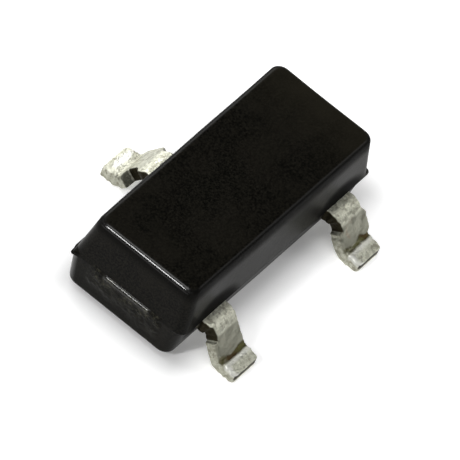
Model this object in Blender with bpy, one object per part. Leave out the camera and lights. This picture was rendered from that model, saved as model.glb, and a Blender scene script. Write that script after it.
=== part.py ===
"""Three-lead surface-mount transistor (SOT-23 outline) at its real size.

Sizes are written in millimetres, as on a package drawing, and every piece hangs from one empty
that brings them to metres. The board is z = 0, X runs along the body, and the single lead
points to +Y.
"""

import math

import bmesh
import bpy
from mathutils import Matrix, Vector

# Moulded body, measured at the parting line; the lower half of the mould sits a little towards +Y
BODY_LENGTH = 2.86
BODY_WIDTH = 1.27
UPPER_HEIGHT = 0.49
LOWER_HEIGHT = 0.375
STANDOFF = 0.045
UPPER_END_DRAFT = math.radians(6.7)
UPPER_SIDE_DRAFT = math.radians(9.2)
LOWER_END_DRAFT = math.radians(2.0)
LOWER_SIDE_DRAFT = math.radians(8.5)
MOULD_SHIFT = 0.02
LEDGE_HEIGHT = 0.008
CORNER_RADIUS = 0.10
TOP_EDGE_RADIUS = 0.035
BOTTOM_EDGE_RADIUS = 0.055

# What the mould leaves behind: the broken gate on the -X end and the flash at two corners
GATE_WIDTH = 0.70
GATE_HEIGHT = 0.21
GATE_OVER_PARTING = 0.012
GATE_PROUD = 0.03
GATE_EDGE_RADIUS = 0.012
BURR_RADIUS = 0.08
BURR_THICKNESS = 0.04
BURR_OVER_PARTING = 0.006
LEFT_BURR_PROUD = (0.040, -0.012)
RIGHT_BURR_PROUD = (0.019, 0.019)

# Lead frame sheet, and the gull wing it is formed into outside the body
LEAD_PITCH = 1.90
SHEET_THICKNESS = 0.13
SHEET_EDGE_RADIUS = 0.012
SHOULDER_REACH = 0.035
NECK_ANGLE = math.radians(55)
SHOULDER_INSIDE_RADIUS = 0.04
HEEL_INSIDE_RADIUS = 0.05
FOOT_LENGTH = 0.142
FOOT_CORNER_RADIUS = 0.035
COIN_DEPTH = 0.035

# Where the dam bar was trimmed, each neck has a nick on one edge and a stub on the other; a nick's
# corners are rounder than the sheet's softened edge by the ease
NICK_CORNER_EASE = 0.003
NICK_RADIUS = SHEET_EDGE_RADIUS + NICK_CORNER_EASE
STUB_SLOPE = 0.07
# Each lead's two edges about its centre line, then its nick and its stub, measured along the
# sheet from the start of the shoulder bend: a nick starts, reaches its floor, ends and is so deep,
# and a stub starts, ends and stands so proud
BASE_EDGES = (-0.185, 0.178)
BASE_NICK = (0.030, 0.050, 0.165, 0.025)
BASE_STUB = (0.030, 0.330, -0.008)
EMITTER_EDGES = (-0.195, 0.160)
EMITTER_NICK = (0.060, 0.090, 0.180, 0.025)
EMITTER_STUB = (0.090, 0.380, 0.042)
COLLECTOR_EDGES = (-0.203, 0.178)
COLLECTOR_NICK = (0.070, 0.220, 0.325, 0.110)
COLLECTOR_STUB = (0.080, 0.415, 0.080)

# Inside the body: the paddle, the posts, the die and its wires
PADDLE_LENGTH = 0.92
PADDLE_WIDTH = 0.50
PADDLE_OFFSET = 0.10
POST_WIDTH = 0.56
POST_LENGTH = 0.20
POST_GAP = 0.14
INNER_CORNER_RADIUS = 0.04
DIE_SIDE = 0.36
DIE_THICKNESS = 0.15
ATTACH_THICKNESS = 0.02
ATTACH_MARGIN = 0.02
BOND_PAD_SPACING = 0.17
BOND_PAD_SETBACK = 0.08
WIRE_RADIUS = 0.0125
WIRE_RISE = 0.16
WIRE_ENTRY = 0.30
BALL_RADIUS = 0.033
BALL_HEIGHT = 0.022
STITCH_HEIGHT = 0.010
STITCH_STRETCH = 1.4

# Clearances: between pieces that rest on each other, and around what the epoxy closes in
SEAT_GAP = 0.002
MOULD_GAP = 0.004

# Facets
ARC_STEPS = 4
BEND_STEPS = 8
WIRE_STEPS = 14

PARTING_HEIGHT = STANDOFF + LOWER_HEIGHT
FRAME_MIDDLE = PARTING_HEIGHT - SHEET_THICKNESS / 2
BODY_TOP = PARTING_HEIGHT + UPPER_HEIGHT
WIRE_SIDES = {"base_wire": -1, "emitter_wire": 1}


def start_clean():
    """Empty the scene and make the collections and the empty that holds the drawing's scale."""
    for old in list(bpy.data.objects):
        bpy.data.objects.remove(old, do_unlink=True)
    collections = {}
    for name in ("sot23_transistor", "cutters"):
        collections[name] = bpy.data.collections.new(name)
        bpy.context.scene.collection.children.link(collections[name])
    drawing = bpy.data.objects.new("drawing_in_millimetres", None)
    drawing.scale = (0.001, 0.001, 0.001)
    collections["sot23_transistor"].objects.link(drawing)
    return drawing, collections


DRAWING, COLLECTIONS = start_clean()


def add_object(name, data, is_tool=False):
    """Put a mesh or curve on the drawing, as a piece or as a hidden cutting or joining tool."""
    item = bpy.data.objects.new(name, data)
    item.parent = DRAWING
    COLLECTIONS["cutters" if is_tool else "sot23_transistor"].objects.link(item)
    if is_tool:
        item.hide_render = True
        item.display_type = "WIRE"
    return item


def mesh_from(shape, name):
    """Turn a bmesh into mesh data with its faces pointing out."""
    bmesh.ops.recalc_face_normals(shape, faces=shape.faces)
    if shape.calc_volume(signed=True) < 0:
        bmesh.ops.reverse_faces(shape, faces=shape.faces)
    mesh = bpy.data.meshes.new(name)
    shape.to_mesh(mesh)
    shape.free()
    return mesh


def bmesh_from_curve(curve):
    """Evaluate a curve, weld its loose caps and hand it back as a bmesh."""
    item = add_object(curve.name, curve, is_tool=True)
    evaluated = item.evaluated_get(bpy.context.evaluated_depsgraph_get())
    mesh = bpy.data.meshes.new_from_object(evaluated)
    shape = bmesh.new()
    shape.from_mesh(mesh)
    bmesh.ops.remove_doubles(shape, verts=shape.verts, dist=1e-4)
    bpy.data.objects.remove(item)
    bpy.data.curves.remove(curve)
    bpy.data.meshes.remove(mesh)
    return shape


def apply_boolean(piece, tool, operation):
    """Join a tool to a piece or cut it away."""
    boolean = piece.modifiers.new(f"{operation.lower()}_{tool.name}", "BOOLEAN")
    boolean.operation = operation
    boolean.object = tool
    boolean.solver = "EXACT"


def box_shape(size, centre):
    """Box of the given sides about a centre."""
    shape = bmesh.new()
    bmesh.ops.create_cube(shape, size=1.0)
    bmesh.ops.scale(shape, vec=size, verts=shape.verts)
    bmesh.ops.translate(shape, vec=centre, verts=shape.verts)
    return shape


def disc_shape(radius, height, centre, segments=16, stretch=1.0, heading=0.0):
    """Flat round pad standing on the point `centre`, stretched along its heading."""
    shape = bmesh.new()
    bmesh.ops.create_cone(
        shape, cap_ends=True, segments=segments, radius1=radius, radius2=radius, depth=height
    )
    bmesh.ops.scale(shape, vec=(stretch, 1, 1), verts=shape.verts)
    bmesh.ops.rotate(shape, matrix=Matrix.Rotation(heading, 3, "Z"), verts=shape.verts)
    bmesh.ops.translate(shape, vec=Vector(centre) + Vector((0, 0, height / 2)), verts=shape.verts)
    return shape


def round_edges(shape, edges, radius, segments):
    """Round the chosen edges of a bmesh."""
    bmesh.ops.bevel(
        shape, geom=edges, offset=radius, segments=segments, profile=0.5, affect="EDGES"
    )


def rounded_outline(corners):
    """Points of a closed outline through (x, y, radius) corners, each radius drawn as an arc."""
    points = []
    for index, (x, y, radius) in enumerate(corners):
        here = Vector((x, y))
        into = (here - Vector(corners[index - 1][:2])).normalized()
        out = (Vector(corners[(index + 1) % len(corners)][:2]) - here).normalized()
        cross = into.x * out.y - into.y * out.x
        turn = math.atan2(cross, into.dot(out))
        if radius == 0:
            points.append(here)
            continue
        start = here - into * radius * math.tan(abs(turn) / 2)
        centre = start + Vector((-into.y, into.x)) * math.copysign(radius, turn)
        for step in range(ARC_STEPS + 1):
            arm = start - centre
            arm.rotate(Matrix.Rotation(turn * step / ARC_STEPS, 2))
            points.append(centre + arm)
    return points


def sheet_shape(name, corners, grow=0.0):
    """Flat stamping from an outline, with softened rims, standing `grow` proud on all sides."""
    curve = bpy.data.curves.new(name, "CURVE")
    curve.dimensions = "2D"
    curve.fill_mode = "BOTH"
    curve.extrude = SHEET_THICKNESS / 2 - SHEET_EDGE_RADIUS
    curve.bevel_depth = SHEET_EDGE_RADIUS + grow
    curve.bevel_resolution = 1
    curve.offset = -SHEET_EDGE_RADIUS
    outline = rounded_outline(corners)
    spline = curve.splines.new("POLY")
    spline.points.add(len(outline) - 1)
    for point, (x, y) in zip(spline.points, outline):
        point.co = (x, y, 0, 1)
    spline.use_cyclic_u = True
    return bmesh_from_curve(curve)


def wing_path():
    """Lengths along the sheet at which the gull wing's bends start and end, with their places.

    The path is the sheet's middle plane, as (length, distance out, height) at the start of the
    shoulder bend, its end, the start of the heel bend and its end.
    """
    shoulder_radius = SHOULDER_INSIDE_RADIUS + SHEET_THICKNESS / 2
    heel_radius = HEEL_INSIDE_RADIUS + SHEET_THICKNESS / 2
    rise = 1 - math.cos(NECK_ANGLE)
    drop = FRAME_MIDDLE - SHEET_THICKNESS / 2
    straight = (drop - (shoulder_radius + heel_radius) * rise) / math.sin(NECK_ANGLE)
    out = BODY_WIDTH / 2 + SHOULDER_REACH
    stations = [(out, out, FRAME_MIDDLE)]
    for length, run, fall in (
        (shoulder_radius * NECK_ANGLE, shoulder_radius * math.sin(NECK_ANGLE), shoulder_radius * rise),
        (straight, straight * math.cos(NECK_ANGLE), straight * math.sin(NECK_ANGLE)),
        (heel_radius * NECK_ANGLE, heel_radius * math.sin(NECK_ANGLE), heel_radius * rise),
    ):
        before = stations[-1]
        stations.append((before[0] + length, before[1] + run, before[2] - fall))
    return stations


def form_point(along, above):
    """Where a point of the flat sheet goes in the gull wing: its distance out and its height."""
    shoulder, neck, heel, foot = wing_path()
    if along <= shoulder[0]:
        return along, FRAME_MIDDLE + above
    if along <= neck[0]:
        radius = SHOULDER_INSIDE_RADIUS + SHEET_THICKNESS / 2
        angle = (along - shoulder[0]) / radius
        reach = radius + above
        return shoulder[1] + reach * math.sin(angle), shoulder[2] - radius + reach * math.cos(angle)
    if along <= heel[0]:
        run = along - neck[0]
        return (
            neck[1] + run * math.cos(NECK_ANGLE) + above * math.sin(NECK_ANGLE),
            neck[2] - run * math.sin(NECK_ANGLE) + above * math.cos(NECK_ANGLE),
        )
    if along <= foot[0]:
        radius = HEEL_INSIDE_RADIUS + SHEET_THICKNESS / 2
        angle = (foot[0] - along) / radius
        reach = radius - above
        return foot[1] - reach * math.sin(angle), foot[2] + radius - reach * math.cos(angle)
    coined = COIN_DEPTH * (along - foot[0]) / FOOT_LENGTH * (above / SHEET_THICKNESS + 0.5)
    return foot[1] + along - foot[0], foot[2] + above - coined


def lead_outline(trim, pad_width, pad_start, pad_end):
    """Outline of a whole flat lead: inner pad, neck with its nick and stub, and foot.

    x runs across the lead, y along the sheet from the body's middle to the tip.
    """
    (left, right), nick, stub = trim
    bend = wing_path()[0][0]
    tip = wing_path()[-1][0] + FOOT_LENGTH
    nick_start, nick_floor, nick_end, nick_depth = nick
    stub_start, stub_end, stub_proud = stub
    inner = INNER_CORNER_RADIUS
    return [
        (-pad_width / 2, pad_start, inner),
        (pad_width / 2, pad_start, inner),
        (pad_width / 2, pad_end, inner),
        (right, pad_end, inner),
        (right, bend + stub_start, inner),
        (right + stub_proud, bend + stub_start + STUB_SLOPE, inner),
        (right + stub_proud, bend + stub_end - STUB_SLOPE, inner),
        (right, bend + stub_end, inner),
        (right, tip, FOOT_CORNER_RADIUS),
        (left, tip, FOOT_CORNER_RADIUS),
        (left, bend + nick_end, NICK_RADIUS),
        (left + nick_depth, bend + nick_end, NICK_RADIUS),
        (left + nick_depth, bend + nick_floor, NICK_RADIUS),
        (left, bend + nick_start, NICK_RADIUS),
        (left, pad_end, inner),
        (-pad_width / 2, pad_end, inner),
    ]


def pocket_outline(edges, pad_width, pad_start, pad_end):
    """Outline of the slot that a lead fills in the body, run on past the wall."""
    left, right = edges
    inner = INNER_CORNER_RADIUS
    return [
        (-pad_width / 2, pad_start, inner),
        (pad_width / 2, pad_start, inner),
        (pad_width / 2, pad_end, inner),
        (right, pad_end, inner),
        (right, BODY_WIDTH, 0),
        (left, BODY_WIDTH, 0),
        (left, pad_end, inner),
        (-pad_width / 2, pad_end, inner),
    ]


def form_lead(name, centre_x, side, trim, pad):
    """Stamp a lead flat, cut it across at every bend station and fold it to its gull wing."""
    shape = sheet_shape(name, lead_outline(trim, *pad))
    shoulder, neck, heel, foot = wing_path()
    stations = [
        start[0] + (end[0] - start[0]) * step / BEND_STEPS
        for start, end in ((shoulder, neck), (heel, foot))
        for step in range(BEND_STEPS + 1)
    ]
    for station in stations:
        geometry = shape.verts[:] + shape.edges[:] + shape.faces[:]
        bmesh.ops.bisect_plane(
            shape, geom=geometry, dist=1e-5, plane_co=(0, station, 0), plane_no=(0, 1, 0)
        )
    for vert in shape.verts:
        out, height = form_point(vert.co.y, vert.co.z)
        vert.co = (centre_x + vert.co.x, side * out, height)
    return add_object(name, mesh_from(shape, name))


def cut_pocket(name, centre_x, side, edges, pad):
    """Cutter for a lead's slot in the body, larger than the lead by the mould gap."""
    shape = sheet_shape(name, pocket_outline(edges, *pad), grow=MOULD_GAP)
    for vert in shape.verts:
        vert.co = (centre_x + vert.co.x, side * vert.co.y, FRAME_MIDDLE + vert.co.z)
    return add_object(name, mesh_from(shape, name), is_tool=True)


def body_block():
    """Body between its two mould halves, drawn in by the draft on each side of the parting line."""
    height = UPPER_HEIGHT + LOWER_HEIGHT
    shape = box_shape((BODY_LENGTH, BODY_WIDTH, height), (0, 0, STANDOFF + height / 2))
    uprights = [e for e in shape.edges if abs(e.verts[0].co.z - e.verts[1].co.z) > height / 2]
    round_edges(shape, uprights, CORNER_RADIUS, 6)
    for level in (PARTING_HEIGHT, PARTING_HEIGHT - LEDGE_HEIGHT):
        geometry = shape.verts[:] + shape.edges[:] + shape.faces[:]
        bmesh.ops.bisect_plane(
            shape, geom=geometry, dist=1e-5, plane_co=(0, 0, level), plane_no=(0, 0, 1)
        )
    for vert in shape.verts:
        rise = vert.co.z - PARTING_HEIGHT
        end, side = (
            (UPPER_END_DRAFT, UPPER_SIDE_DRAFT) if rise > 0 else (LOWER_END_DRAFT, LOWER_SIDE_DRAFT)
        )
        vert.co.x -= math.copysign(abs(rise) * math.tan(end), vert.co.x)
        vert.co.y -= math.copysign(abs(rise) * math.tan(side), vert.co.y)
        if rise < -LEDGE_HEIGHT / 2:
            vert.co.y += MOULD_SHIFT
    for level, radius in ((BODY_TOP, TOP_EDGE_RADIUS), (STANDOFF, BOTTOM_EDGE_RADIUS)):
        rim = [e for e in shape.edges if all(abs(v.co.z - level) < 1e-5 for v in e.verts)]
        round_edges(shape, rim, radius, 4)
    return shape


def gate_shape():
    """Broken gate: a low boss under the parting line on the -X end, sunk into the end face."""
    sunk = 2 * LOWER_HEIGHT * math.tan(LOWER_END_DRAFT) + GATE_PROUD
    depth = sunk + GATE_PROUD
    top = PARTING_HEIGHT + GATE_OVER_PARTING
    shape = box_shape(
        (depth, GATE_WIDTH, GATE_HEIGHT),
        (-BODY_LENGTH / 2 - GATE_PROUD + depth / 2, 0, top - GATE_HEIGHT / 2),
    )
    round_edges(shape, shape.edges[:], GATE_EDGE_RADIUS, 2)
    return shape


def burr_shape(corner_x, corner_y, proud):
    """Flash burr: a thin round tongue standing out of one corner at the parting line.

    proud is how far its rim passes the end and the side of the body.
    """
    centre = (
        corner_x * (BODY_LENGTH / 2 + proud[0] - BURR_RADIUS),
        corner_y * (BODY_WIDTH / 2 + proud[1] - BURR_RADIUS) + MOULD_SHIFT,
        PARTING_HEIGHT + BURR_OVER_PARTING - BURR_THICKNESS,
    )
    return disc_shape(BURR_RADIUS, BURR_THICKNESS, centre)


def die_stack():
    """Sizes and centres of the attach layer and the die that stand on the paddle."""
    attach_side = DIE_SIDE + 2 * ATTACH_MARGIN
    attach_base = PARTING_HEIGHT + SEAT_GAP
    die_base = attach_base + ATTACH_THICKNESS + SEAT_GAP
    return {
        "die_attach": (
            Vector((attach_side, attach_side, ATTACH_THICKNESS)),
            Vector((0, PADDLE_OFFSET, attach_base + ATTACH_THICKNESS / 2)),
        ),
        "silicon_die": (
            Vector((DIE_SIDE, DIE_SIDE, DIE_THICKNESS)),
            Vector((0, PADDLE_OFFSET, die_base + DIE_THICKNESS / 2)),
        ),
    }


def wire_ends(side_x):
    """Foot of a wire's ball on the die and of its stitch on a post, for the post at side_x."""
    die_size, die_centre = die_stack()["silicon_die"]
    ball = Vector((
        side_x * BOND_PAD_SPACING / 2,
        PADDLE_OFFSET - BOND_PAD_SETBACK,
        die_centre.z + die_size.z / 2 + SEAT_GAP,
    ))
    stitch = Vector((
        side_x * (LEAD_PITCH / 2 - POST_WIDTH / 8),
        -post_start() - POST_LENGTH / 2,
        PARTING_HEIGHT + SEAT_GAP,
    ))
    return ball, stitch


def post_start():
    """Distance from the body's middle to the inner end of the base and emitter posts."""
    return PADDLE_WIDTH / 2 - PADDLE_OFFSET + POST_GAP


def wire_object(name, side_x, grow=0.0, is_tool=False):
    """Bond wire: a ball on the die, a loop, and a flattened stitch on the post."""
    ball, stitch = wire_ends(side_x)
    heading = math.atan2(stitch.y - ball.y, stitch.x - ball.x)
    run = (stitch - ball).xy.normalized().to_3d()
    start = ball + Vector((0, 0, BALL_HEIGHT / 2))
    end = stitch + Vector((0, 0, WIRE_RADIUS))
    curve = bpy.data.curves.new(name, "CURVE")
    curve.dimensions = "3D"
    curve.bevel_depth = WIRE_RADIUS + grow
    curve.bevel_resolution = 2
    curve.resolution_u = WIRE_STEPS
    curve.use_fill_caps = True
    spline = curve.splines.new("BEZIER")
    spline.bezier_points.add(1)
    handles = (
        (start, start - Vector((0, 0, WIRE_RISE)), start + Vector((0, 0, WIRE_RISE))),
        (end, end - run * WIRE_ENTRY + Vector((0, 0, WIRE_RISE)), end + run * WIRE_ENTRY),
    )
    for point, (place, left, right) in zip(spline.bezier_points, handles):
        point.handle_left_type = point.handle_right_type = "FREE"
        point.co, point.handle_left, point.handle_right = place, left, right
    wire = add_object(name, mesh_from(bmesh_from_curve(curve), name), is_tool=is_tool)
    lower = Vector((0, 0, grow))
    for end_name, shape in (
        ("ball", disc_shape(BALL_RADIUS + grow, BALL_HEIGHT + 2 * grow, ball - lower)),
        ("stitch", disc_shape(
            BALL_RADIUS + grow, STITCH_HEIGHT + 2 * grow, stitch - lower,
            stretch=STITCH_STRETCH, heading=heading,
        )),
    ):
        tool_name = f"{end_name}_of_{name}"
        apply_boolean(wire, add_object(tool_name, mesh_from(shape, tool_name), is_tool=True), "UNION")
    return wire


def make_body(leads):
    """Body with its gate and burrs, hollowed where the frame, the die and the wires lie."""
    body = add_object("moulded_body", mesh_from(body_block(), "moulded_body"))
    marks = {
        "gate": gate_shape(),
        "burr_left": burr_shape(-1, 1, LEFT_BURR_PROUD),
        "burr_right": burr_shape(1, -1, RIGHT_BURR_PROUD),
    }
    for name, shape in marks.items():
        apply_boolean(body, add_object(name, mesh_from(shape, name), is_tool=True), "UNION")
    for name, (centre_x, side, trim, pad) in leads.items():
        pocket = cut_pocket(f"pocket_of_{name}", centre_x, side, trim[0], pad)
        apply_boolean(body, pocket, "DIFFERENCE")
    for name, (size, centre) in die_stack().items():
        room = box_shape(size + Vector((2 * MOULD_GAP,) * 3), centre)
        tool_name = f"pocket_of_{name}"
        apply_boolean(body, add_object(tool_name, mesh_from(room, tool_name), is_tool=True), "DIFFERENCE")
    for name, side_x in WIRE_SIDES.items():
        apply_boolean(body, wire_object(f"pocket_of_{name}", side_x, MOULD_GAP, is_tool=True), "DIFFERENCE")
    return body


def paint(piece, colour, metallic, roughness):
    """Give a piece its own material."""
    material = bpy.data.materials.new(piece.name)
    material.use_nodes = True
    surface = material.node_tree.nodes["Principled BSDF"]
    surface.inputs["Base Color"].default_value = (*colour, 1.0)
    surface.inputs["Metallic"].default_value = metallic
    surface.inputs["Roughness"].default_value = roughness
    piece.data.materials.append(material)


def build():
    """Model every piece of the transistor."""
    post = (POST_WIDTH, post_start(), post_start() + POST_LENGTH)
    paddle = (PADDLE_LENGTH, PADDLE_OFFSET - PADDLE_WIDTH / 2, PADDLE_OFFSET + PADDLE_WIDTH / 2)
    leads = {
        "base_lead": (-LEAD_PITCH / 2, -1, (BASE_EDGES, BASE_NICK, BASE_STUB), post),
        "emitter_lead": (LEAD_PITCH / 2, -1, (EMITTER_EDGES, EMITTER_NICK, EMITTER_STUB), post),
        "collector_lead": (0.0, 1, (COLLECTOR_EDGES, COLLECTOR_NICK, COLLECTOR_STUB), paddle),
    }
    epoxy, tin = ((0.012, 0.012, 0.012), 0.0, 0.45), ((0.56, 0.55, 0.50), 1.0, 0.45)
    paint(make_body(leads), *epoxy)
    for name, lead in leads.items():
        paint(form_lead(name, *lead), *tin)
    fills = {"die_attach": ((0.50, 0.48, 0.42), 0.6, 0.6), "silicon_die": ((0.10, 0.11, 0.13), 0.4, 0.2)}
    for name, (size, centre) in die_stack().items():
        paint(add_object(name, mesh_from(box_shape(size, centre), name)), *fills[name])
    for name, side_x in WIRE_SIDES.items():
        paint(wire_object(name, side_x), (0.90, 0.60, 0.20), 1.0, 0.25)


build()
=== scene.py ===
"""Looks of a three-lead surface-mount transistor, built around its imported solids.

Sizes are written in millimetres, and times MM where Blender wants metres. The board is z = 0, X
runs along the body, and the single collector lead points to +Y.
"""

import math

import bmesh
import bpy
import numpy as np
from mathutils import Matrix, Vector


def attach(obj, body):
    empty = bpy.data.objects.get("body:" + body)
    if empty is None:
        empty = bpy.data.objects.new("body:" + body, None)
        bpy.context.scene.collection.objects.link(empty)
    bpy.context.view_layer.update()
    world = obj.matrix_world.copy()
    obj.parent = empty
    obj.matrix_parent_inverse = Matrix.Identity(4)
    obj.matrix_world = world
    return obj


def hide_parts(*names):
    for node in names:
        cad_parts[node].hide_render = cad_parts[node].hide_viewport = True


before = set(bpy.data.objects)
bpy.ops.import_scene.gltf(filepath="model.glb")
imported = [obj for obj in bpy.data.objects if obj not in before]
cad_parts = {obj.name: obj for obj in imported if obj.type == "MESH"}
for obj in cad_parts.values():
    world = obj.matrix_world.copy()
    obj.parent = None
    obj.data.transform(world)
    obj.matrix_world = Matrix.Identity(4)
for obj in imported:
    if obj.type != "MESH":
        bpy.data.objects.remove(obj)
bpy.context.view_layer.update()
MM = 0.001

# Photographer's camera: a long lens a hand's width away, looking down across the body's near
# corner, and rolled clockwise. Sideways offsets move the camera and its aim together.
AZIMUTH, ELEVATION, ROLL = (math.radians(a) for a in (-71.39, 48.31, 24.42))
PIXELS_PER_MM = 112.80
PERSPECTIVE_PER_MM = 0.00928
AIM_ACROSS_PIXELS, AIM_UP_PIXELS = 20.87, 9.76
PICTURE_PIXELS = 460
SENSOR_WIDTH = 36.0
NEAREST, FARTHEST = 0.05, 20  # the clip distances, as shares of the camera's distance

towards_camera = Vector((
    math.sin(AZIMUTH) * math.cos(ELEVATION),
    -math.cos(AZIMUTH) * math.cos(ELEVATION),
    math.sin(ELEVATION),
))
level_right = (-towards_camera).cross(Vector((0, 0, 1))).normalized()
level_up = level_right.cross(-towards_camera)
picture_right = math.cos(ROLL) * level_right + math.sin(ROLL) * level_up
picture_up = -math.sin(ROLL) * level_right + math.cos(ROLL) * level_up
camera_distance = MM / PERSPECTIVE_PER_MM
aim = (AIM_ACROSS_PIXELS * picture_right + AIM_UP_PIXELS * picture_up) / PIXELS_PER_MM * MM
camera_data = bpy.data.cameras.new("camera")
camera_data.sensor_width = SENSOR_WIDTH
camera_data.lens = SENSOR_WIDTH * PIXELS_PER_MM / PERSPECTIVE_PER_MM / PICTURE_PIXELS
camera_data.clip_start = camera_distance * NEAREST
camera_data.clip_end = camera_distance * FARTHEST
camera = bpy.data.objects.new("camera", camera_data)
bpy.context.scene.collection.objects.link(camera)
camera.matrix_world = Matrix.Translation(aim + towards_camera * camera_distance) @ Matrix(
    (picture_right, picture_up, towards_camera)
).transposed().to_4x4()
bpy.context.scene.camera = camera

# Moulded epoxy body: black filled resin pressed round the lead frame in a two-part steel mould,
# then snapped off its runner at the gate on the -X end. It is one closed skin through
# rounded-rectangle rings, from the middle of the underside to the middle of the top.
BODY_LENGTH, BODY_WIDTH = 2.86, 1.27
UNDERSIDE, PARTING, TOP = 0.045, 0.42, 0.91
UPPER_DRAFT, LOWER_DRAFT = (6.7, 9.2), (2.0, 8.5)  # degrees, at the ends and at the sides
MOULD_SHIFT, LEDGE = 0.02, 0.008
CORNER_RADIUS, TOP_EDGE_RADIUS, BOTTOM_EDGE_RADIUS = 0.10, 0.045, 0.055
GRID = 0.0135
EDGE_ROWS, UNDERSIDE_ROWS, TOP_ROWS = 9, 12, 38


def rounded_rectangle(across, upward, corner):
    """Points round a unit rounded rectangle, anticlockwise: each has a core place and a heading.

    A real ring is core * (half size - radius) + radius * heading.
    """
    turn = np.linspace(0, np.pi / 2, corner, endpoint=False)
    core, heading = [], []
    for quarter, count in enumerate((across, upward, across, upward)):
        begin = quarter * np.pi / 2 - np.pi / 2
        out = np.round([np.cos(begin), np.sin(begin)])
        along = np.array([-out[1], out[0]])
        run = np.linspace(-1, 1, count, endpoint=False)[:, None]
        core.append(out + run * along)
        heading.append(np.repeat(out[None], count, 0))
        core.append(np.repeat((out + along)[None], corner, 0))
        heading.append(np.stack([np.cos(begin + turn), np.sin(begin + turn)], -1))
    return np.concatenate(core), np.concatenate(heading)


def step(value, low, high):
    """Smooth step: 0 below low, 1 above high, and 3t^2 - 2t^3 in between."""
    t = np.clip((value - low) / (high - low), 0, 1)
    return t * t * (3 - 2 * t)


def waves(points, length, seed, count=22):
    """Smooth random relief of unit height at each point: a sum of plane waves about length long."""
    draw = np.random.default_rng(seed)
    heading = draw.normal(size=(count, 3))
    heading /= np.linalg.norm(heading, axis=1, keepdims=True)
    turns = heading * (2 * np.pi / length) * draw.uniform(0.7, 1.4, (count, 1))
    phase = draw.uniform(0, 2 * np.pi, count)
    return np.cos(points @ turns.T + phase).sum(-1) / math.sqrt(count / 2)


# Levels of the rings: close together round the edges and over the ledge at the parting line.
core, heading = rounded_rectangle(200, 80, 10)
quarter_turn = np.linspace(0, np.pi / 2, EDGE_ROWS)
over_ledge = np.array([-1, -0.5, 0, 0.5, 1.0, 1.5, 2.0, 2.4, 2.8, 3.1, 3.4, 3.6, 3.8, 4.2])
levels = np.concatenate([
    np.full(UNDERSIDE_ROWS, UNDERSIDE),
    UNDERSIDE + BOTTOM_EDGE_RADIUS * (1 - np.cos(quarter_turn)),
    np.arange(UNDERSIDE + BOTTOM_EDGE_RADIUS + GRID, PARTING - LEDGE, GRID),
    PARTING + LEDGE * over_ledge,
    np.arange(PARTING + LEDGE * over_ledge[-1] + GRID, TOP - TOP_EDGE_RADIUS, GRID),
    TOP - TOP_EDGE_RADIUS * (1 - np.sin(quarter_turn)),
    np.full(TOP_ROWS, TOP),
])
bottom_edge = slice(UNDERSIDE_ROWS, UNDERSIDE_ROWS + EDGE_ROWS)
top_edge = slice(-TOP_ROWS - EDGE_ROWS, -TOP_ROWS)

# Half sizes at each level: the drafts take them in away from the parting line, a quarter circle
# takes them in at each edge, and on the underside and the top the rings close up to a line.
rise = levels - PARTING
end_draft, side_draft = (
    np.abs(rise) * np.tan(np.radians(np.where(rise > 0, up, down)))
    for up, down in zip(UPPER_DRAFT, LOWER_DRAFT)
)
inset = np.zeros_like(levels)
inset[bottom_edge] = BOTTOM_EDGE_RADIUS * (1 - np.sin(quarter_turn))
inset[top_edge] = TOP_EDGE_RADIUS * (1 - np.cos(quarter_turn))
half_length = BODY_LENGTH / 2 - end_draft - inset
half_width = BODY_WIDTH / 2 - side_draft - inset
for half in (half_length, half_width):
    half[:UNDERSIDE_ROWS] = half[UNDERSIDE_ROWS]
    half[-TOP_ROWS:] = half[-TOP_ROWS - 1]
reach = np.ones_like(levels)
reach[:UNDERSIDE_ROWS] = np.linspace(0, 1, UNDERSIDE_ROWS, endpoint=False)
reach[-TOP_ROWS:] = np.linspace(1, 0, TOP_ROWS + 1)[1:]
shrink = half_width * (1 - reach)
half_sizes = np.stack([half_length - shrink, half_width - shrink], -1)[:, None]
radius = (CORNER_RADIUS * reach)[:, None, None]
rings = np.zeros((len(levels), len(core), 3))
rings[..., :2] = core * (half_sizes - radius) + heading * radius
rings[..., 1] += (MOULD_SHIFT * step(-rise, 0, LEDGE))[:, None]
rings[..., 2] = levels[:, None]

# Outward direction at each point: its heading, tilted down or up round the edges.
tilt = np.zeros_like(levels)
tilt[:UNDERSIDE_ROWS] = -np.pi / 2
tilt[bottom_edge] = quarter_turn - np.pi / 2
tilt[top_edge] = quarter_turn
tilt[-TOP_ROWS:] = np.pi / 2
outward = np.zeros_like(rings)
outward[..., :2] = heading[None] * np.cos(tilt)[:, None, None]
outward[..., 2] = np.sin(tilt)[:, None]
on_top_edge = np.sin(2 * np.clip(tilt, 0, np.pi / 2))[:, None]

# Relief all over: a fine grain from the mould's steel, none of it on the top edge, and a slow
# wave from shrinkage.
relief = 0.00005 * waves(rings, 0.12, 2) + 0.00006 * waves(rings, 0.055, 3)
relief *= 1 - on_top_edge
relief += 0.0010 * waves(rings, 0.9, 1)

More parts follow.
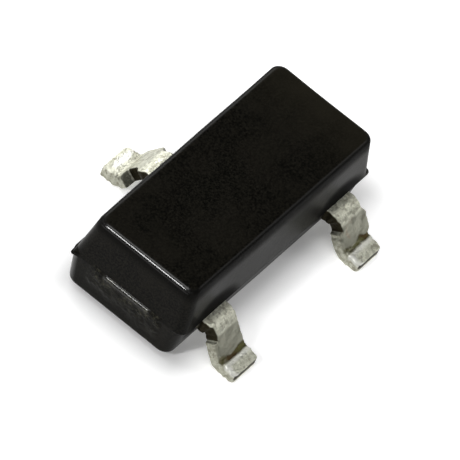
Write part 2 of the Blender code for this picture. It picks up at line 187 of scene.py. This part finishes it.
# Broken gate: a patch of torn resin under the parting line, ragged at its borders. It stands proud
# by a quarter circle at its upper edge, where a smooth lip bent before it snapped.
GATE_LEFT, GATE_RIGHT, GATE_FOOT = (-0.41, -0.36), (0.44, 0.32), (0.13, 0.34)  # none to full
SHELF_HEIGHT = 0.030
LIP_HALF, LIP_FADE, LIP_HEIGHT = 0.27, 0.03, 0.06
GATE_PROUD, TORN_PROUD, LIP_PROUD = 0.010, 0.007, 0.014
across, height = rings[..., 1], rings[..., 2]
upright = np.cos(tilt)[:, None]
on_end = (heading[None, :, 0] < -0.99) & (np.abs(tilt)[:, None] < 0.1)
ragged = 0.010 * waves(rings, 0.16, 4) + 0.004 * waves(rings, 0.05, 7)
over_parting = np.clip((height - PARTING) / SHELF_HEIGHT, 0, 1)
shelf = np.sqrt(1 - over_parting**2)
gate = on_end * (
    step(across + ragged, *GATE_LEFT)
    * step(GATE_RIGHT[0] + ragged - across, 0, GATE_RIGHT[0] - GATE_RIGHT[1])
    * step(height + 2.0 * ragged, *GATE_FOOT) * (over_parting < 1)
)
torn_relief = waves(rings, 0.11, 5, 40) * 0.6 + waves(rings, 0.045, 6, 40) * 0.6
torn_relief = 0.5 + 0.5 * np.clip(torn_relief, -1, 1)
lip = step(height, PARTING - LIP_HEIGHT, PARTING)
lip = lip * step(LIP_HALF - across, 0, LIP_FADE) * step(across, -LIP_HALF, LIP_FADE - LIP_HALF)
relief += gate * shelf * (GATE_PROUD + TORN_PROUD * torn_relief * (1 - lip) + LIP_PROUD * lip)

# Flash burrs: resin that crept out between the mould's halves at two opposite corners, in tongues
# that fall off as a bell curve round the corner.
BURR_CORNER = (1.42, 0.61)
BURRS = ((-1, 1, 0.042, 0.032), (1, -1, 0.035, 0.045))  # end, side, how far proud, how wide
tongue = step(height, PARTING - 0.04, PARTING - 0.01) * shelf
for end, side, proud, spread in BURRS:
    far = np.hypot(rings[..., 0] - end * BURR_CORNER[0], across - side * BURR_CORNER[1])
    relief += proud * np.exp(-((far / spread) ** 2)) * tongue * (upright > 0.9)

# Masks for the finish. Polished: the top edge, most of all at the -X end, the gate's lip, and the
# lower corner by the left burr. Painted shade: darker, rougher resin in an oval over each lead's
# root and in a band under the top edge.
LEAD_ROOTS = ((-0.95, -1), (0.95, -1), (0.0, 1))  # x, and the side that it comes out of
ROOT_HEIGHT, ROOT_OVAL = 0.38, (0.40, 0.24)
PAINTED_SHADE_BAND = (0.05, 0.17)
polished = on_top_edge * (0.10 + 0.90 * (heading[None, :, 0] < -0.9))
polished = np.maximum(polished, 0.65 * gate * lip * (height > PARTING - 0.006))
low_corner = step(-heading[:, 0], 0.2, 0.5) * step(heading[:, 1], 0.0, 0.3)
polished = np.maximum(polished, 0.5 * low_corner * step(-rise, 0, 0.05)[:, None])
# Painted shade: a band under the top edge, then an oval over each lead's root.
painted_shade_mask = 0.8 * (1 - step(TOP - height, *PAINTED_SHADE_BAND)) * (upright > 0.5)
for root_x, side in LEAD_ROOTS:
    oval = np.hypot((rings[..., 0] - root_x) / ROOT_OVAL[0], (height - ROOT_HEIGHT) / ROOT_OVAL[1])
    painted_shade_mask = np.maximum(painted_shade_mask, (1 - step(oval, 0.65, 1.1)) * (across * side > 0.4))
torn_mask = gate * (0.35 + 0.65 * step(height, 0.24, 0.40))
rings += outward * relief[..., None]


class Socket:
    """A shader socket that ordinary arithmetic works on; each operation adds its Math node."""

    def __init__(self, tree, socket):
        self.tree = tree
        self.socket = socket

    def fill(self, target, value):
        """Link a socket to an input, or set a plain value on it."""
        if isinstance(value, Socket):
            self.tree.links.new(value.socket, target)
        elif target.type == "RGBA":
            target.default_value = (*value, 1.0)
        else:
            target.default_value = value

    def out(self, kind, output, settings=None, **values):
        """Add a node, with its settings set first and then its inputs, and give one output."""
        node = self.tree.nodes.new(kind)
        for name, value in (settings or {}).items():
            setattr(node, name, value)
        for name, value in values.items():
            wanted = name.replace("_", " ")
            self.fill(next(s for s in node.inputs if s.enabled and s.name == wanted), value)
        return Socket(self.tree, next(s for s in node.outputs if s.enabled and s.name == output))

    def maths(self, operation, *others):
        """A Math node on this value and any others, in their order."""
        result = self.out("ShaderNodeMath", "Value", {"operation": operation})
        for target, value in zip(result.socket.node.inputs, (self, *others)):
            self.fill(target, value)
        return result

    def __add__(self, other):
        return self.maths("ADD", other)

    __radd__ = __add__

    def __mul__(self, other):
        return self.maths("MULTIPLY", other)

    __rmul__ = __mul__

    def __sub__(self, other):
        return self.maths("SUBTRACT", other)

    def __rsub__(self, other):
        return self * -1.0 + other

    def between(self, low, high):
        """0 at low, 1 at high, with a smooth step in the middle."""
        return self.out(
            "ShaderNodeMapRange", "Result", {"interpolation_type": "SMOOTHSTEP"},
            Value=self, From_Min=low, From_Max=high,
        )

    def noise(self, size, detail=3.0, rough=0.55):
        """Soft three-dimensional noise whose blobs are about size metres across."""
        return self.out(
            "ShaderNodeTexNoise", "Fac", {"noise_dimensions": "3D"},
            Vector=self, Scale=1.0 / size, Detail=detail, Roughness=rough,
        )

    def mask(self, name):
        """The piece's own attribute of this name."""
        return self.out("ShaderNodeAttribute", "Fac", {"attribute_name": name})

    def axis(self, letter):
        """One coordinate of this place, in metres."""
        return self.out("ShaderNodeSeparateXYZ", letter, Vector=self)

    def bump(self, strength, distance):
        """A normal that this value, as a height, tips by so much."""
        return self.out(
            "ShaderNodeBump", "Normal", Height=self, Strength=strength, Distance=distance
        )

    def mix(self, first, second):
        """A colour that goes from first to second as this value goes from 0 to 1."""
        return self.out(
            "ShaderNodeMix", "Result", {"data_type": "RGBA"}, Factor=self, A=first, B=second
        )


def new_material(name):
    """A Principled material: itself, its shader node and the Object coordinates as a socket."""
    material = bpy.data.materials.new(name)
    material.use_nodes = True
    tree = material.node_tree
    shader = tree.nodes["Principled BSDF"]
    place = Socket(tree, tree.nodes.new("ShaderNodeTexCoord").outputs["Object"])
    return material, shader, place


def feed(shader, place, **inputs):
    """Link sockets, or set values, on the shader's inputs."""
    for name, value in inputs.items():
        place.fill(shader.inputs[name.replace("_", " ")], value)


def skin(name, rings, material, node, masks):
    """A closed smooth mesh through rings of points (rows, columns, 3) in millimetres.

    Each cell between two rings and two columns is a face, and the first and last rings have
    closed up to a line. Points that meet are merged, and the faces are turned outwards.
    """
    rows, columns, _ = rings.shape
    index = np.arange(rows * columns).reshape(rows, columns)
    after = np.roll(index, -1, axis=1)
    faces = np.stack([index[:-1], after[:-1], after[1:], index[1:]], -1).reshape(-1, 4)
    mesh = bpy.data.meshes.new(name)
    mesh.from_pydata((rings.reshape(-1, 3) * MM).tolist(), [], faces.tolist())
    for mask_name, values in masks.items():
        layer = mesh.attributes.new(mask_name, "FLOAT", "POINT")
        layer.data.foreach_set("value", values.astype(np.float32).ravel())
    work = bmesh.new()
    work.from_mesh(mesh)
    bmesh.ops.remove_doubles(work, verts=work.verts, dist=1e-5 * MM)
    if work.calc_volume(signed=True) < 0:
        bmesh.ops.reverse_faces(work, faces=work.faces)
    work.to_mesh(mesh)
    work.free()
    mesh.polygons.foreach_set("use_smooth", np.ones(len(mesh.polygons), bool))
    mesh.materials.append(material)
    piece = bpy.data.objects.new(name, mesh)
    bpy.context.scene.collection.objects.link(piece)
    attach(piece, "root")
    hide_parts(node)


# The resin is grained and faintly clouded, and crumbly where it tore. Painted light makes it
# lighter and browner towards the +X end, and painted shade darkens it over the leads' roots and
# under the top edge.
RESIN_BLACK, RESIN_GRAIN = (0.0006, 0.0006, 0.0003), (0.0105, 0.0096, 0.0068)
RESIN_CLOUD, RESIN_PAINTED_LIGHT = (0.0105, 0.0092, 0.0064), (0.0150, 0.0132, 0.0085)
RESIN_PAINTED_SHADE, RESIN_TORN = (0.0015, 0.0014, 0.0010), (0.060, 0.058, 0.040)
epoxy, shader, place = new_material("black_moulded_epoxy")
grain = place.noise(0.018 * MM, 4.0)
cloud = place.noise(0.35 * MM, 2.0)
crumbs = place.noise(0.034 * MM, 5.0, 0.7)
blots = place.noise(0.13 * MM, 3.0)
torn, painted_shade = place.mask("torn"), place.mask("painted_shade_mask")
plus_x_painted_light = place.axis("X").between(0.6 * MM, 1.45 * MM)
resin = grain.between(0.3, 0.75).mix(RESIN_BLACK, RESIN_GRAIN)
resin = (cloud.between(0.42, 0.66) * 0.4).mix(resin, RESIN_CLOUD)
# Painted light: lighter and browner towards the +X end.
resin = (plus_x_painted_light * (0.4 + cloud * 0.6)).mix(resin, RESIN_PAINTED_LIGHT)
# Painted shade: darker resin over the leads' roots and under the top edge.
resin = painted_shade.mix(resin, RESIN_PAINTED_SHADE)
resin = (torn * crumbs.between(0.45, 0.65) * blots.between(0.35, 0.62)).mix(resin, RESIN_TORN)
feed(
    shader, place,
    Base_Color=resin,
    Roughness=0.24 + cloud * 0.10 + grain * 0.06 + torn * 0.12 + painted_shade * 0.45,
    Normal=(grain + torn * crumbs * 6.0).bump(0.35, 0.004 * MM),
    Specular_IOR_Level=0.06,
    Coat_Weight=place.mask("polished"),
    Coat_Roughness=0.20,
)
skin(
    "epoxy_body", rings, epoxy, "moulded_body",
    {"torn": torn_mask, "painted_shade_mask": painted_shade_mask, "polished": polished},
)

# Three leads: copper-alloy sheet stamped from the lead frame, dipped in matt tin, then trimmed and
# folded to the gull wing. Each is one closed section carried along the folded sheet's middle.
SHEET = 0.13
SHEET_MIDDLE = PARTING - SHEET / 2
BODY_WALL = BODY_WIDTH / 2
SHOULDER_START = BODY_WALL + 0.035
NECK_ANGLE = math.radians(55)
SHOULDER_RADIUS, HEEL_RADIUS = 0.04 + SHEET / 2, 0.05 + SHEET / 2
FOOT_LENGTH = 0.142
COIN = 0.035
TIP_RADIUS, STUB_SLOPE = 0.035, 0.07
TOP_RIM, UNDER_RIM = 0.022, 0.012
CLOSING_ROWS, TIP_ROWS = 4, 6
bends_drop = (SHOULDER_RADIUS + HEEL_RADIUS) * (1 - math.cos(NECK_ANGLE))
neck_run = (SHEET_MIDDLE - SHEET / 2 - bends_drop) / math.sin(NECK_ANGLE)
neck_start = SHOULDER_START + SHOULDER_RADIUS * NECK_ANGLE
heel_start = neck_start + neck_run
foot_start = heel_start + HEEL_RADIUS * NECK_ANGLE
tip = foot_start + FOOT_LENGTH


def gull_wing(along, above):
    """Where a point of the flat sheet goes when it is folded: its distance out and its height.

    Straight, then an arc down of the shoulder's radius, straight down the neck, an arc back to
    level of the heel's radius, and the foot, whose upper face slopes down to the tip.
    """
    bend = np.clip((along - SHOULDER_START) / SHOULDER_RADIUS, 0, NECK_ANGLE)
    back = np.clip((along - heel_start) / HEEL_RADIUS, 0, NECK_ANGLE)
    slope = bend - back
    straight = np.clip(along - neck_start, 0, neck_run)
    foot = np.clip(along - foot_start, 0, None)
    out = np.minimum(along, SHOULDER_START) + SHOULDER_RADIUS * np.sin(bend)
    out = out + straight * math.cos(NECK_ANGLE)
    out = out + HEEL_RADIUS * (math.sin(NECK_ANGLE) - np.sin(NECK_ANGLE - back)) + foot
    drop = SHOULDER_RADIUS * (1 - np.cos(bend)) + straight * math.sin(NECK_ANGLE)
    drop = drop + HEEL_RADIUS * (np.cos(NECK_ANGLE - back) - math.cos(NECK_ANGLE))
    coined = COIN * foot / FOOT_LENGTH * (above / SHEET + 0.5)
    return out + above * np.sin(slope), SHEET_MIDDLE - drop + above * np.cos(slope) - coined


def stamped_edges(along, edges, nick, stub, pad, seed):
    """The flat sheet's left and right edge at each length from the body's middle.

    The pad's half width steps to the lead's edges at the pad's end, and a circle rounds the tip's
    corners. The left edge sinks into the nick and the right one swells at the stub, both as smooth
    steps measured from the shoulder, and both edges wander a little, as the punch left them.
    """
    pad_half, _, pad_end = pad
    nick_start, nick_floor, nick_end, nick_depth = nick
    stub_start, stub_end, stub_proud = stub
    narrowing = step(along, pad_end - 0.02, pad_end + 0.02)
    into_round = np.clip(along - (tip - TIP_RADIUS), 0, TIP_RADIUS)
    rounding = TIP_RADIUS - np.sqrt(TIP_RADIUS**2 - into_round**2)
    out = along - SHOULDER_START
    sunk = step(out, nick_start, nick_floor) * (1 - step(out, nick_end - 0.006, nick_end + 0.006))
    swollen = step(out, stub_start, stub_start + STUB_SLOPE)
    swollen = swollen * (1 - step(out, stub_end - STUB_SLOPE, stub_end))
    line = along[:, None] * np.ones(3)
    left = -pad_half + (edges[0] + pad_half) * narrowing + rounding + nick_depth * sunk
    right = pad_half + (edges[1] - pad_half) * narrowing - rounding + stub_proud * swollen
    return left + 0.003 * waves(line, 0.09, seed), right + 0.003 * waves(line, 0.07, seed + 1)


# The tin is mottled and dented, with a little rust on the necks, and the cut edges show dark
# sheared copper. Painted shade darkens the necks, the heels' creases, partly a real olive stain
# there, and the nick's walls by the body; a painted highlight brightens the feet.
TIN_SHADE, TIN_LIGHT, TIN_SPECKLE = (0.49, 0.49, 0.39), (0.63, 0.63, 0.52), (0.77, 0.77, 0.65)
TIN_DENT, TIN_PAINTED_SHADE, TIN_PAINTED_HIGHLIGHT = (0.40, 0.39, 0.31), (0.275, 0.275, 0.220), (0.93, 0.93, 0.86)
SHADE_AND_STAIN_BROWN, SHADE_AND_STAIN_OLIVE = (0.075, 0.050, 0.022), (0.10, 0.095, 0.040)
RUST, BARE_COPPER_AND_SHADE = (0.36, 0.25, 0.18), (0.028, 0.024, 0.014)
tin, shader, place = new_material("matt_tinned_lead")
grain = place.noise(0.02 * MM, 4.0)
cloud = place.noise(0.15 * MM, 2.0)
speckle = place.noise(0.035 * MM, 3.0, 0.65)
dents = place.noise(0.050 * MM, 2.0)
rust = place.noise(0.10 * MM, 3.0)
crease_shade_and_stain, bare_copper_and_shade, neck, painted_highlight = (place.mask(name) for name in ("crease_shade_and_stain", "bare_copper_and_shade", "neck", "painted_highlight"))
plated = cloud.between(0.3, 0.7).mix(TIN_SHADE, TIN_LIGHT)
plated = speckle.between(0.42, 0.60).mix(plated, TIN_SPECKLE)
plated = dents.between(0.52, 0.66).mix(plated, TIN_DENT)
# Painted shade on the necks, then their rust.
plated = (neck * (0.8 + cloud * 0.4)).mix(plated, TIN_PAINTED_SHADE)
plated = (neck * rust.between(0.56, 0.80)).mix(plated, RUST)
# Painted highlight on the feet.
plated = (painted_highlight * (0.6 + speckle * 0.8)).mix(plated, TIN_PAINTED_HIGHLIGHT)
# Painted shade in the heels' creases, partly a real olive and brown stain.
olive = rust.between(0.4, 0.6).mix(SHADE_AND_STAIN_BROWN, SHADE_AND_STAIN_OLIVE)
plated = (crease_shade_and_stain + speckle * 0.7 - 0.35).between(0.15, 0.75).mix(plated, olive)
# Dark copper on the cut tip and the side walls, and painted shade on the nick's walls by the body.
feed(
    shader, place,
    Base_Color=bare_copper_and_shade.mix(plated, BARE_COPPER_AND_SHADE),
    Metallic=1.0,
    Roughness=0.36 + grain * 0.15 + bare_copper_and_shade * 0.2 - neck * 0.04,
    Normal=((grain + speckle * 2.0) * (1.0 - neck * 0.6)).bump(0.6, 0.007 * MM),
)

section_core, section_heading = rounded_rectangle(40, 8, 7)


def fold_lead(node, name, centre_x, side, edges, nick, stub, pad, painted_shade, highlight_in_middle, seed):
    """One lead: a rounded section between the stamped edges, folded to the gull wing.

    A nick gives its start, floor, end and depth, a stub its start, end and height, and a pad its
    half width, start and end. The neck and the heel's crease are painted darker as shade so far,
    the neck with a little rust and the crease partly with a real stain, and the foot carries a
    painted highlight either in the middle or along its left edge and its heel.
    """
    _, pad_start, pad_end = pad
    quarter = np.linspace(0, np.pi / 2, TIP_ROWS)
    along = np.concatenate([
        np.full(CLOSING_ROWS, pad_start), np.arange(pad_start, pad_end - 0.03, 0.03),
        np.linspace(pad_end - 0.03, pad_end + 0.03, 9),
        np.arange(pad_end + 0.05, SHOULDER_START - 0.05, 0.03),
        np.arange(SHOULDER_START - 0.05, tip - UNDER_RIM, 0.0060),
        tip - UNDER_RIM * (1 - np.sin(quarter)), np.full(CLOSING_ROWS + 1, tip),
    ])
    open_up = np.ones_like(along)
    open_up[:CLOSING_ROWS] = np.linspace(0, 1, CLOSING_ROWS + 1)[:-1]
    open_up[-CLOSING_ROWS - 1:] = np.linspace(1, 0, CLOSING_ROWS + 2)[1:]
    thin_tip = np.zeros_like(along)
    thin_tip[-CLOSING_ROWS - 1 - TIP_ROWS:-CLOSING_ROWS - 1] = UNDER_RIM * (1 - np.cos(quarter))
    thin_tip[-CLOSING_ROWS - 1:] = UNDER_RIM
    left, right = stamped_edges(along, edges, nick, stub, pad, seed)
    middle, spread = (left + right) / 2, (right - left) / 2 - thin_tip
    thick = SHEET / 2 - thin_tip
    shut = thick * (1 - open_up)
    spread, thick = (spread - shut)[:, None], (thick - shut)[:, None]
    rim = UNDER_RIM + (TOP_RIM - UNDER_RIM) * (section_core[:, 1] + 1) / 2
    rim = np.minimum(rim[None] * open_up[:, None], thick)
    offset = middle[:, None] + section_core[:, 0] * (spread - rim) + section_heading[:, 0] * rim
    above = section_core[:, 1] * (thick - rim) + section_heading[:, 1] * rim
    length = np.repeat(along[:, None], len(section_core), 1)
    flat = np.stack([offset, length, above], -1)
    pitted = 0.0011 * waves(flat, 0.14, seed + 2) + 0.0003 * waves(flat, 0.05, seed + 3, 40)
    above = above + section_heading[:, 1] * pitted * open_up[:, None] * (above > 0)
    out, height = gull_wing(length, above)
    points = np.stack([centre_x + offset, side * out, np.maximum(height, 0)], -1)

    # Where each finish lies on the flat sheet's upper side, and on the tip's and the nick's walls:
    # painted shade on the neck, in the crease and on the nick's walls, and a painted highlight on
    # the foot.
    upper_side = step(above, 0.02, 0.05)
    fold = length - (heel_start + foot_start) / 2 + 0.012 * waves(flat, 0.20, seed + 4)
    # Painted shade in the heel's crease, partly a real stain.
    crease_shade_and_stain = painted_shade * np.exp(-((fold / 0.060) ** 4)) * upper_side * (0.80 + 0.20 * offset / 0.18)
    # Painted shade on the neck.
    neck = step(length, neck_start - 0.03, neck_start + 0.03)
    neck = painted_shade * neck * (1 - step(length, heel_start, heel_start + 0.06)) * upper_side
    # Painted highlight on the foot: an oblong in its middle, or along its left edge and heel.
    on_foot = step(length, foot_start + 0.005, foot_start + 0.015) * upper_side
    if highlight_in_middle:
        oblong = np.hypot((offset - 0.01) / 0.16, (length - foot_start - 0.065) / 0.045)
        painted_highlight = on_foot * (1 - step(oblong, 0.75, 1.05))
    else:
        near_left = 1 - step(offset - left[:, None], 0.03, 0.07)
        near_heel = 1 - step(length, foot_start + 0.03, foot_start + 0.06)
        painted_highlight = on_foot * np.maximum(near_left, 0.8 * near_heel)
    nick_end = SHOULDER_START + nick[2]
    cut_tip = step(length, tip - 0.016, tip - 0.007)
    cut_tip = cut_tip * step(above, -0.035, 0.0) * (1 - step(above, 0.050, 0.062))
    # Painted shade on the -X walls from the body to the nick's end.
    painted_root_shade = step(-section_heading[:, 0], 0.3, 0.7) * step(length, BODY_WALL - 0.1, BODY_WALL)
    painted_root_shade = painted_root_shade * (1 - step(length, nick_end - 0.016, nick_end - 0.007))
    side_walls = 0.35 * step(np.abs(section_heading[:, 0]), 0.5, 0.9)
    bare_copper_and_shade = np.maximum(cut_tip, np.maximum(painted_root_shade, side_walls))
    skin(
        name, points, tin, node,
        {"crease_shade_and_stain": crease_shade_and_stain, "neck": neck, "painted_highlight": painted_highlight, "bare_copper_and_shade": bare_copper_and_shade},
    )


POST, PADDLE = (0.28, 0.29, 0.49), (0.46, -0.15, 0.35)
fold_lead(
    "base_lead", "base_gull_wing", -0.95, -1, (-0.185, 0.178),
    nick=(0.030, 0.050, 0.165, 0.025), stub=(0.030, 0.330, -0.008), pad=POST,
    painted_shade=1.0, highlight_in_middle=False, seed=10,
)
fold_lead(
    "emitter_lead", "emitter_gull_wing", 0.95, -1, (-0.195, 0.160),
    nick=(0.060, 0.090, 0.180, 0.025), stub=(0.090, 0.380, 0.042), pad=POST,
    painted_shade=0.9, highlight_in_middle=False, seed=20,
)
fold_lead(
    "collector_lead", "collector_gull_wing", 0.0, 1, (-0.203, 0.178),
    nick=(0.070, 0.220, 0.325, 0.110), stub=(0.080, 0.415, 0.080), pad=PADDLE,
    painted_shade=0.35, highlight_in_middle=True, seed=30,
)

# Silicon die: a square sawn from a polished wafer, grey with a violet cast from the clear film on
# top. It is closed in, so its face stays plain.
silicon, shader, place = new_material("diced_silicon")
film = place.noise(0.12 * MM, 2.0)
saw_marks = place.noise(0.006 * MM, 2.0)
feed(
    shader, place,
    Base_Color=film.between(0.3, 0.7).mix((0.060, 0.055, 0.085), (0.085, 0.085, 0.105)),
    Metallic=0.6,
    Roughness=0.16 + saw_marks * 0.14,
    Normal=saw_marks.bump(0.2, 0.001 * MM),
)


def finish(node, material):
    """Give a carried-over solid its finish in place of the plain one."""
    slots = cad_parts[node].data.materials
    slots.clear()
    slots.append(material)


finish("silicon_die", silicon)

# Die attach: a thin square of silver-filled adhesive squeezed out a little round the die, pale grey
# and grainy from its metal flakes.
adhesive, shader, place = new_material("silver_filled_adhesive")
flakes = place.noise(0.008 * MM, 3.0, 0.7)
feed(
    shader, place,
    Base_Color=flakes.between(0.35, 0.65).mix((0.34, 0.33, 0.31), (0.58, 0.57, 0.54)),
    Metallic=flakes.between(0.45, 0.6),
    Roughness=0.42 + flakes * 0.25,
    Normal=flakes.bump(0.5, 0.003 * MM),
)
finish("die_attach", adhesive)

# Bond wires: drawn gold, 25 micrometres thick, balled on the die and stitched to the post, with
# faint draw marks along them.
gold, shader, place = new_material("drawn_gold_wire")
marks = place.noise(0.004 * MM, 2.0)
feed(
    shader, place,
    Base_Color=marks.between(0.3, 0.7).mix((0.88, 0.56, 0.18), (1.0, 0.70, 0.28)),
    Metallic=1.0,
    Roughness=0.20 + marks * 0.12,
    Normal=marks.bump(0.2, 0.001 * MM),
)
finish("base_wire", gold)
finish("emitter_wire", gold)

# White table: a pale sheet that runs out past the picture. To the camera and in reflections it
# glows as a backlit sheet does away from the part, and glows less close to the part: a painted
# shadow there, over which its real soft shadow also falls.
TABLE_HALF = 60
SHADED_HALF, SHADED_SHIFT, GLOW_FADE = (1.46, 0.58), 0.08, 0.36
GLOW_IN_PAINTED_SHADOW, GLOW_FAR, NO_GLOW = (0.12, 0.12, 0.12), (0.50, 0.50, 0.50), (0.0, 0.0, 0.0)
corners = ((-1, -1), (1, -1), (1, 1), (-1, 1))
table_mesh = bpy.data.meshes.new("studio_floor")
table_mesh.from_pydata(
    [(x * TABLE_HALF * MM, y * TABLE_HALF * MM, 0.0) for x, y in corners], [], [(0, 1, 2, 3)]
)
table = bpy.data.objects.new("studio_floor", table_mesh)
bpy.context.scene.collection.objects.link(table)
white, shader, place = new_material("white_table")
camera_sees = place.out("ShaderNodeLightPath", "Is Camera Ray")
gloss_sees = place.out("ShaderNodeLightPath", "Is Glossy Ray")
past_end = (place.axis("X") - SHADED_SHIFT * MM).maths("ABSOLUTE") - SHADED_HALF[0] * MM
past_side = place.axis("Y").maths("ABSOLUTE") - SHADED_HALF[1] * MM
past_end, past_side = past_end.maths("MAXIMUM", 0.0), past_side.maths("MAXIMUM", 0.0)
away = (past_end * past_end + past_side * past_side).maths("SQRT")
# Painted shadow: the glow is lower close to the part, reaching further towards +X.
glow_and_painted_shadow = away.between(0.0, GLOW_FADE * MM).mix(GLOW_IN_PAINTED_SHADOW, GLOW_FAR)
feed(
    shader, place,
    Base_Color=(0.90, 0.90, 0.90),
    Roughness=0.9,
    Specular_IOR_Level=0.0,
    Emission_Color=(camera_sees + gloss_sees).mix(NO_GLOW, glow_and_painted_shadow),
    Emission_Strength=1.0,
)
table_mesh.materials.append(white)

# Lamps: soft boxes all round, a key from behind the collector lead, one overhead, and a narrow
# strip that draws the light line along the end's top edge, in a dim grey room.
LAMP_DISTANCE = 50


def soft_box(name, direction, size, level):
    """A rectangular lamp aimed at the origin that alone lights a facing white card to level."""
    lamp = bpy.data.lights.new(name, "AREA")
    lamp.shape = "RECTANGLE"
    lamp.size, lamp.size_y = (side * MM for side in size)
    lamp.energy = level * math.pi**2 * (LAMP_DISTANCE * MM) ** 2
    box = bpy.data.objects.new(name, lamp)
    towards_lamp = Vector(direction).normalized()
    box.matrix_world = (
        Matrix.Translation(towards_lamp * LAMP_DISTANCE * MM)
        @ towards_lamp.to_track_quat("Z", "Y").to_matrix().to_4x4()
    )
    bpy.context.scene.collection.objects.link(box)


soft_box("key_behind_collector", (0.6, 0.8, 0.5), (30, 30), 0.38)
soft_box("behind", (-0.2, 1.0, 0.6), (30, 30), 0.24)
soft_box("high_right", (0.66, -0.45, 0.60), (20, 20), 0.15)
soft_box("front_left", (-0.6, -0.6, 0.6), (30, 30), 0.15)
soft_box("overhead", (-0.15, 0.10, 1.0), (25, 25), 0.24)
soft_box("edge_strip", (-0.75, 0.21, 0.63), (3.0, 12), 0.32)
world = bpy.data.worlds.new("studio")
world.use_nodes = True
world.node_tree.nodes["Background"].inputs["Color"].default_value = (0.10, 0.10, 0.10, 1.0)
bpy.context.scene.world = world
bpy.context.scene.view_settings.view_transform = "Standard"
